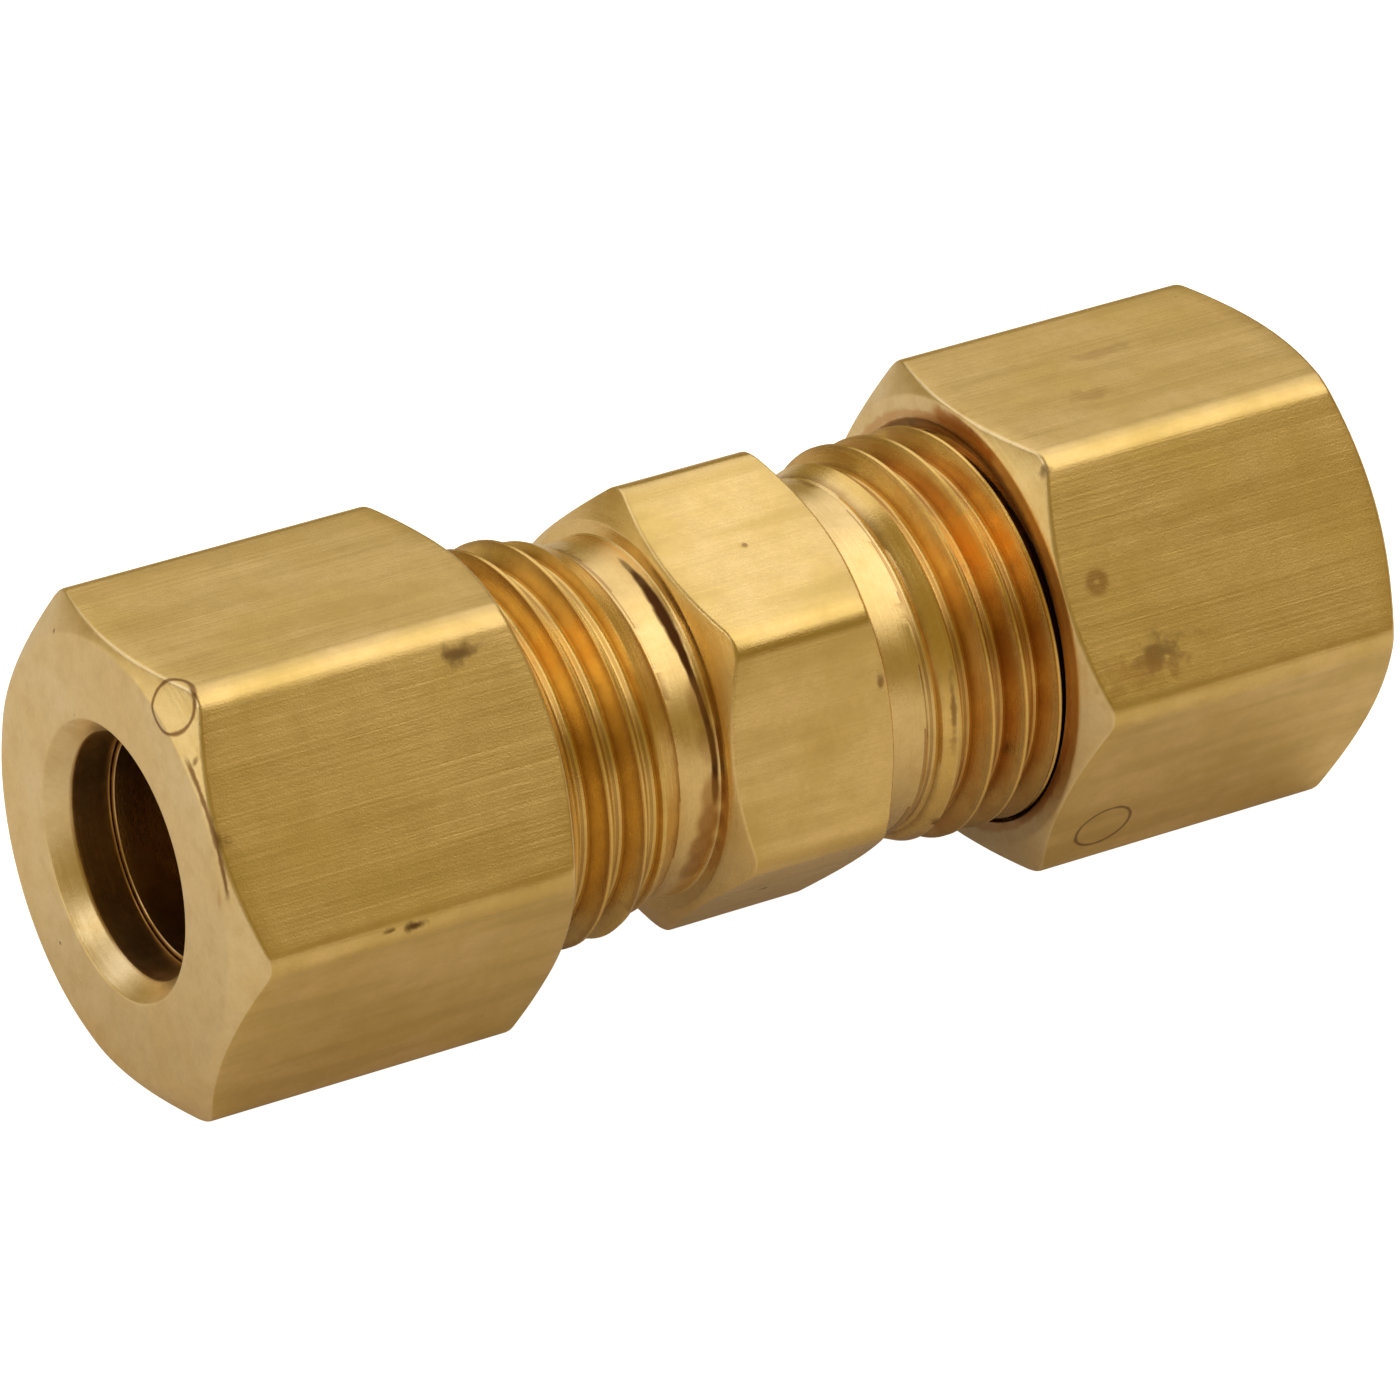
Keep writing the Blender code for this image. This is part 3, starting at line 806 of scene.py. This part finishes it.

# %% [markdown]
# ## Three brasses
# The body, the nuts and the sleeves are one alloy with different histories. The drawn flats start as warm
# yellow with an olive tarnish and darker streaks, and the turned faces as a paler yellow. Over that come, in
# this order, the zones that a piece names for itself, mottle and grit, the rubbed ridges with their painted
# highlight, the grime and painted shade in the creases, dark specks and the placed marks. Each layer is a colour
# mixed in by a mask, which is easier to tune than one big formula.

# %% Brass colours
BARE = (0.90, 0.655, 0.285)
TURNED = (0.94, 0.76, 0.46)
THREAD = (0.89, 0.615, 0.205)
OLIVE = (0.76, 0.545, 0.175)
STREAK = (0.64, 0.45, 0.14)
MOTTLE = (0.55, 0.36, 0.12)
GRIT = (0.45, 0.28, 0.08)
BROWN = (0.30, 0.125, 0.03)
STAIN = (0.10, 0.036, 0.008)
RUSTY = (0.60, 0.29, 0.075)
# Pale rubbed brass for the ridges, which also paints their highlight.
WORN_AND_HIGHLIGHT = (0.98, 0.87, 0.64)
# Mask, strength and colour, from the metal outward. Each brass gives the strengths that are missing here.
# The ridge layer is rubbed metal and a painted highlight, the crease layer grime and painted shade.
LAYERS = (
    ("mottle", 0.22, MOTTLE), ("grit", 0.13, GRIT), ("ridge", None, WORN_AND_HIGHLIGHT), ("crease", None, BROWN),
    ("specks", 0.8, STAIN))
print("layers over every brass:", [layer[0] for layer in LAYERS])

# %% Masks of a brass
def place_effect(tree, group, **values):
    """Puts a node group into a material. A name's underscores stand for spaces."""
    node = add_node(tree, "ShaderNodeGroup", node_tree=group)
    for name, value in values.items():
        plug(tree, value, node.inputs[name.replace("_", " ")])
    return node.outputs


def is_turned(tree):
    """1 on the faces that were turned on the lathe, 0 on the drawn flats."""
    return add_node(tree, "ShaderNodeAttribute", attribute_name="turned").outputs["Fac"]


def brass_masks(tree, ridge_width):
    """Every mask that a brass is made from, by name."""
    lines = place_effect(tree, drawn, Spacing=0.11, Length=7.0)
    # Ridges get rubbing and a painted highlight, creases grime and painted shade.
    ridge_crease_tones = place_effect(tree, wear_dirt_and_painted_light, Ridge_Width=ridge_width, Crease_Width=0.3)
    return {
        "turned": is_turned(tree), "lines": lines["Lines"], "bands": lines["Bands"],
        "rings": place_effect(tree, turning, Spacing=0.09)["Rings"],
        "tarnish": place_effect(tree, patches, Size=3.4, Level=0.5, Softness=0.16)["Mask"],
        "mottle": place_effect(tree, patches, Size=0.7, Level=0.56, Softness=0.2, Shift=7.0)["Mask"],
        "grit": place_effect(tree, patches, Size=0.13, Level=0.5, Softness=0.3, Shift=5.0)["Mask"],
        "specks": place_effect(tree, patches, Size=0.42, Level=0.765, Softness=0.02, Shift=3.0)["Mask"],
        "ridge": ridge_crease_tones["Ridge"], "crease": ridge_crease_tones["Crease"],
    }


# %% Colour of a brass
def share(tree, mask, strength):
    """A mask made weaker."""
    return maths(tree, "MULTIPLY", mask, strength)


def clean_tone(tree, masks):
    """The metal before its layers: tarnished and streaked on the flats, paler where it was turned."""
    flat = mix_colour(tree, share(tree, masks["tarnish"], 0.8), BARE, OLIVE)
    flat = mix_colour(tree, share(tree, ramp(tree, masks["bands"], 0.42, 0.68), 0.5), flat, STREAK)
    yellow = maths(tree, "MAXIMUM", share(tree, masks["mottle"], 0.4), share(tree, masks["tarnish"], 0.5))
    return mix_colour(tree, masks["turned"], flat, mix_colour(tree, yellow, TURNED, BARE))


def marked_tone(tree, tone, marks):
    """Lays the placed marks over a tone. Also gives the mask of the paste among them, or None."""
    paste = None
    for strength, colour, values in marks:
        cover = share(tree, place_effect(tree, mark, **values)["Mask"], strength)
        tone = mix_colour(tree, cover, tone, colour)
        if colour == STAIN:
            paste = cover if paste is None else maths(tree, "MAXIMUM", paste, cover)
    return tone, paste


# %% [markdown]
# The same masks set the finish. Fine lines and rings make the metal rougher and give it a bump far finer than
# geometry could, rubbed ridges are smoother, and dried paste is dull and hardly metallic.

# %% Finish of a brass
DULL = 0.25  # what paste adds to the roughness
PASTE_METAL = -0.6  # and to how metallic it is
BUMP_STRENGTH = 0.45
BUMP_DEPTH = 0.012 * MM


def mix_value(tree, factor, a, b):
    """A Mix node on two numbers."""
    node = add_node(tree, "ShaderNodeMix", data_type="FLOAT")
    for value, name in ((factor, "Factor"), (a, "A"), (b, "B")):
        plug(tree, value, node.inputs[name])
    return node.outputs["Result"]


def brass_roughness(tree, masks, grain, paste, roughness):
    """Roughness round a middle value."""
    rough = maths(tree, "MULTIPLY_ADD", grain, 0.16, roughness - 0.08)
    rough = maths(tree, "MULTIPLY_ADD", masks["tarnish"], 0.05, rough)
    rough = maths(tree, "MULTIPLY_ADD", masks["ridge"], -0.06, rough, clamp=True)
    return rough if paste is None else maths(tree, "MULTIPLY_ADD", paste, DULL, rough)


def brass_bump(tree, grain):
    """A normal with fine lines or rings and small pits."""
    bump = add_node(tree, "ShaderNodeBump")
    bump.inputs["Strength"].default_value = BUMP_STRENGTH
    bump.inputs["Distance"].default_value = BUMP_DEPTH
    pits = noise(tree, millimetres(tree), 17.0, detail=2, roughness=0.7)
    plug(tree, maths(tree, "MULTIPLY_ADD", pits, 0.9, grain), bump.inputs["Height"])
    return bump.outputs["Normal"]


# %% A brass
def brass(name, marks=(), roughness=0.3, ridge=(0.16, 0.27), crease_dirt_and_shade=0.8, zones=()):
    """A tarnished, rubbed brass. ridge is the rubbed width in mm and how bright it is, a brightness that is
    partly a painted highlight, and dirt is how dark the creases are, grime and painted shade together.

    zones are (mask function, colour), marks are (strength, colour, placed_mark values).
    """
    material = bpy.data.materials.new(name)
    material.use_nodes = True
    tree = material.node_tree
    shader = tree.nodes["Principled BSDF"]
    shader.inputs["Metallic"].default_value = 1
    shader.inputs["Specular IOR Level"].default_value = 0.08
    masks = brass_masks(tree, ridge[0])
    own = {"ridge": ridge[1], "crease": crease_dirt_and_shade}

    tone = clean_tone(tree, masks)
    for zone, colour in zones:
        tone = mix_colour(tree, zone(tree), tone, colour)
    for mask, strength, colour in LAYERS:
        tone = mix_colour(tree, share(tree, masks[mask], own.get(mask, strength)), tone, colour)
    tone, paste = marked_tone(tree, tone, marks)
    plug(tree, tone, shader.inputs["Base Color"])
    if paste is not None:
        plug(tree, maths(tree, "MULTIPLY_ADD", paste, PASTE_METAL, 1.0), shader.inputs["Metallic"])

    grain = mix_value(tree, masks["turned"], masks["lines"], masks["rings"])
    plug(tree, brass_roughness(tree, masks, grain, paste, roughness), shader.inputs["Roughness"])
    plug(tree, brass_bump(tree, grain), shader.inputs["Normal"])
    print(name, "has", len(tree.nodes), "nodes")
    return material


# %% [markdown]
# Some parts of a piece have a colour of their own. The threads are a deeper yellow than the necks, oil and dust
# gather in their valleys, the right-hand thread has rusty stains, and the inside of each nut is darkened with
# grime and with painted shade. They could be painted on the points, but they are plain to say in numbers, as a
# distance from the axis and a place along it.

# %% Zones
def axis_parts(tree):
    """In mm: the distance from the axis, the place along it, and how far out that place is from the middle."""
    point = add_node(tree, "ShaderNodeSeparateXYZ")
    plug(tree, millimetres(tree), point.inputs[0])
    x, y, z = point.outputs
    squares = maths(tree, "MULTIPLY_ADD", y, y, maths(tree, "MULTIPLY", z, z))
    return maths(tree, "SQRT", squares), x, maths(tree, "ABSOLUTE", x)


def uneven(tree, low, high, scale=0.9):
    """Noise between two values, to break up an even zone."""
    return maths(tree, "MULTIPLY_ADD", ramp(tree, noise(tree, millimetres(tree), scale, detail=5), 0.25, 0.7),
                 high - low, low)


def threads(tree):
    """The turned surfaces of the body: about half strength on the necks and full strength on the threads."""
    on_thread = ramp(tree, axis_parts(tree)[2], 3.9, 4.5)
    return maths(tree, "MULTIPLY", is_turned(tree), maths(tree, "MULTIPLY_ADD", on_thread, 0.45, 0.55))


def thread_valleys(tree):
    """A thin uneven grime below the crests of both threads."""
    radius, _, out = axis_parts(tree)
    depth = ramp(tree, radius, CREST / MM - 0.04, CREST / MM - 0.25)
    zone = maths(tree, "MULTIPLY", depth, ramp(tree, out, 4.2, 5.0))
    return maths(tree, "MULTIPLY", zone, uneven(tree, 0.0, 0.2))


def right_thread_rust(tree):
    """The right-hand thread has been wet: its valleys are stained a rusty brown."""
    radius, x, _ = axis_parts(tree)
    depth = ramp(tree, radius, CREST / MM - 0.02, CREST / MM - 0.2)
    zone = maths(tree, "MULTIPLY", depth, ramp(tree, x, 4.6, 5.4))
    return maths(tree, "MULTIPLY", zone, uneven(tree, 0.25, 0.85, 0.6))


def nut_inside(tree):
    """Grime and painted shade in a nut's bore, and less of them on its thread."""
    radius, _, out = axis_parts(tree)
    bore = ramp(tree, radius, NUT_BORE / MM + 0.06, NUT_BORE / MM + 0.01)
    tapped = ramp(tree, radius, COUNTERSINK_RADIUS / MM + 0.12, COUNTERSINK_RADIUS / MM - 0.1)
    mouth = maths(tree, "MULTIPLY", tapped, ramp(tree, out, SLEEVE_BACK_OUT / MM, SLEEVE_BACK_OUT / MM - 1))
    inside = maths(tree, "MAXIMUM", bore, maths(tree, "MULTIPLY", mouth, 0.6))
    return maths(tree, "MULTIPLY", inside, uneven(tree, 0.25, 0.6))


print("a thread valley is", round((CREST - ROOT) / MM, 2), "mm deep")

# %% [markdown]
# The marks that give this piece its history each have a place. The largest is a dark crescent round the left
# neck, along its corner with the hexagon's face: old thread paste, and painted shade of that corner. One long
# shape with such an outline would need a formula of its own, so it is a row of overlapping smudges: narrow dark
# ones for its core and wide thin ones for its smeared edge.

# %% Thread paste and painted corner shade
INK = (0.20, 0.085, 0.03)
SMEAR = (0.42, 0.20, 0.05)
RUST = (0.56, 0.25, 0.06)
ORANGE = (0.88, 0.45, 0.08)
PINK = (0.75, 0.42, 0.22)
WIDEST_CORE = 0.3  # a smudge that is half this wide or wider, in mm, belongs to the smeared edge
# Each smudge sits on the left neck beside the hexagon's face; the dark stain and smear colours are paste and also
# painted shade of that corner.
NECK_PASTE_AND_SHADE = (  # angle in degrees, how far along, half width, strength
    (101, 2.90, 0.13, 0.6), (108, 2.88, 0.18, 0.9), (115, 2.88, 0.23, 1.0), (122, 2.89, 0.26, 1.0),
    (129, 2.88, 0.22, 1.0), (136, 2.86, 0.16, 1.0), (143, 2.84, 0.13, 0.95), (150, 2.80, 0.12, 0.95),
    (157, 2.76, 0.12, 0.95), (164, 2.72, 0.12, 0.95), (171, 2.71, 0.12, 0.9), (178, 2.74, 0.14, 0.85),
    (150, 2.85, 0.45, 0.4), (164, 2.82, 0.45, 0.4), (181, 2.85, 0.42, 0.65), (191, 2.90, 0.46, 0.8),
    (201, 2.98, 0.52, 0.8), (211, 3.02, 0.5, 0.7))
neck_marks = [
    (strength, STAIN if half < WIDEST_CORE else SMEAR,
     dict(Centre=(-out, ROOT / MM * math.cos(math.radians(angle)), ROOT / MM * math.sin(math.radians(angle))),
          Stretch=(half, 0.75, 0.75), Width=1.0, Core=0.45, Raggedness=0.15))
    for angle, out, half, strength in NECK_PASTE_AND_SHADE]
print("smudges of paste:", len(neck_marks))

# %% [markdown]
# The others are pressed rings, a scraped arc on the left-hand nut's face, rust round the nuts' mouths, stains
# and nicks on the flats, and amber and brown stains in the threads. Each is one line: its place and sizes in mm,
# then its strength, its colour and how ragged it is.

# %% Marks
def ring_at(centre, radius, width=0.085, strength=0.85, colour=INK, ragged=0.6):
    """A thin line at one distance from a point."""
    return strength, colour, dict(Centre=centre, Radius=radius, Width=width, Raggedness=ragged)


def smudge_at(centre, stretch, strength=0.7, colour=STAIN, ragged=1.0):
    """A ragged blob, whose half sizes along x, y and z are its stretch."""
    return strength, colour, dict(Centre=centre, Stretch=stretch, Width=1.0, Raggedness=ragged)


def arc_at(centre, radius, middle, reach, width, strength, colour, ragged=0.8):
    """Only the part of a ring that lies within reach of a point."""
    strength, colour, values = ring_at(centre, radius, width, strength, colour, ragged)
    return strength, colour, dict(values, Middle=middle, Reach=reach)


left_marks = [
    ring_at((-17.82, -3.05, 5.85), 0.72),
    smudge_at((-13.2, -7.3, 0.05), (0.5, 0.5, 0.17), 0.9),
    smudge_at((-13.9, -7.3, 0.1), (0.3, 0.4, 0.1), 0.7),
    smudge_at((-10.0, -4.05, 5.65), (0.8, 0.3, 0.35), 0.75),
    smudge_at((-18.09, 1.36, 6.33), (0.2, 0.5, 0.35), 0.4, PINK, 0.6),
    smudge_at((-18.09, 2.94, 5.47), (0.2, 0.12, 0.1), 0.8, INK, 0.5),
    smudge_at((-18.09, 3.11, -3.87), (0.2, 0.1, 0.08), 0.8, INK, 0.5),
    smudge_at((-17.95, -4.3, 4.85), (0.2, 0.12, 0.2), 0.8, INK, 0.5),
    smudge_at((-18.0, -5.75, 1.5), (0.2, 0.14, 0.9), 0.45, RUST, 0.9),
    arc_at((-18.0, 0, 0), 6.27, (-18.0, -5.28, 3.4), 2.1, 0.1, 0.85, INK, 0.7),
    ring_at((-7.84, 0, 0), 5.80, 0.2, 0.5, RUST, 0.9),
]
right_marks = [
    ring_at((9.85, -4.55, -4.81), 0.84, 0.08, 0.8),
    smudge_at((10.15, -6.6, 1.25), (1.2, 0.5, 0.75), 0.6),
    smudge_at((9.6, -6.7, 0.9), (1.9, 0.5, 0.9), 0.4, SMEAR),
    ring_at((8.92, -5.46, 3.25), 0.2, 0.25, 0.55, BROWN, 0.5),
    smudge_at((8.2, -3.8, 6.1), (0.3, 0.3, 0.3), 0.7),
    smudge_at((13.2, 0.93, 6.35), (1.3, 0.35, 0.3), 0.3, BROWN),
    smudge_at((11.5, -1.15, 6.35), (0.9, 0.5, 0.3), 0.3, BROWN),
    arc_at((7.84, 0, 0), 5.98, (7.84, -0.55, 6.1), 1.7, 0.34, 0.9, RUST, 0.8),
    ring_at((7.84, 0, 0), 5.80, 0.2, 0.55, RUST, 0.9),
]
body_marks = neck_marks + [
    smudge_at((-0.37, -3.63, -4.2), (0.25, 0.2, 0.2), 0.7),
    smudge_at((-3.0, -4.3, -3.5), (0.3, 0.3, 0.3), 0.6),
    smudge_at((2.2, -5.3, 2.0), (0.15, 0.2, 0.3), 0.7, INK),
    smudge_at((0.07, -1.93, 5.21), (0.12, 0.12, 0.12), 0.7, INK),
    smudge_at((6.5, -3.1, 4.1), (1.4, 1.4, 1.4), 0.5, ORANGE),
    smudge_at((-6.4, -2.8, 4.2), (1.2, 1.2, 1.2), 0.35, ORANGE),
    smudge_at((6.3, -4.9, 1.9), (0.7, 0.6, 2.2), 0.45, SMEAR),
    smudge_at((5.89, -4.93, -1.81), (0.18, 0.3, 0.5), 0.8),
    smudge_at((7.35, -4.19, -3.17), (0.2, 0.4, 0.55), 0.8),
    smudge_at((4.84, -3.97, -3.44), (0.25, 0.3, 0.3), 0.8),
    smudge_at((4.55, -5.2, 0.5), (0.12, 0.4, 1.3), 0.7, INK),
    smudge_at((-5.21, -5.21, -0.64), (0.12, 0.3, 0.3), 0.7),
    smudge_at((-5.83, -4.17, -3.19), (0.15, 0.25, 0.25), 0.7),
]
print("marks:", len(left_marks), len(right_marks), len(body_marks))

# %% [markdown]
# Last, each piece gets its own brass. The body's edges get a narrow bright line, rubbing and a painted highlight
# together, and the nuts' a wider and fainter one. The two nuts differ only in their marks, and the sleeves have
# none.

# %% Materials
# The body's creases are darkened less than the nuts', grime and painted shade together.
body_brass = brass("body_brass", body_marks, roughness=0.26, ridge=(0.06, 0.8), crease_dirt_and_shade=0.6,
                   zones=((threads, THREAD), (thread_valleys, BROWN), (right_thread_rust, RUSTY)))
# Inside each nut the brass is darkened, grime and painted shade together.
nut_brass = {"left": brass("left_nut_brass", left_marks, zones=((nut_inside, BROWN),)),
             "right": brass("right_nut_brass", right_marks, zones=((nut_inside, BROWN),))}
# The sleeves sit deep in the nuts' bores, and the same zone darkens them: grime and painted shade.
sleeve_brass = brass("sleeve_brass", roughness=0.24, zones=((nut_inside, BROWN),))
union_body.data.materials.append(body_brass)
for side in ("left", "right"):
    nuts[side].data.materials.append(nut_brass[side])
    sleeves[side].data.materials.append(sleeve_brass)
print("materials:", [material.name for material in bpy.data.materials])
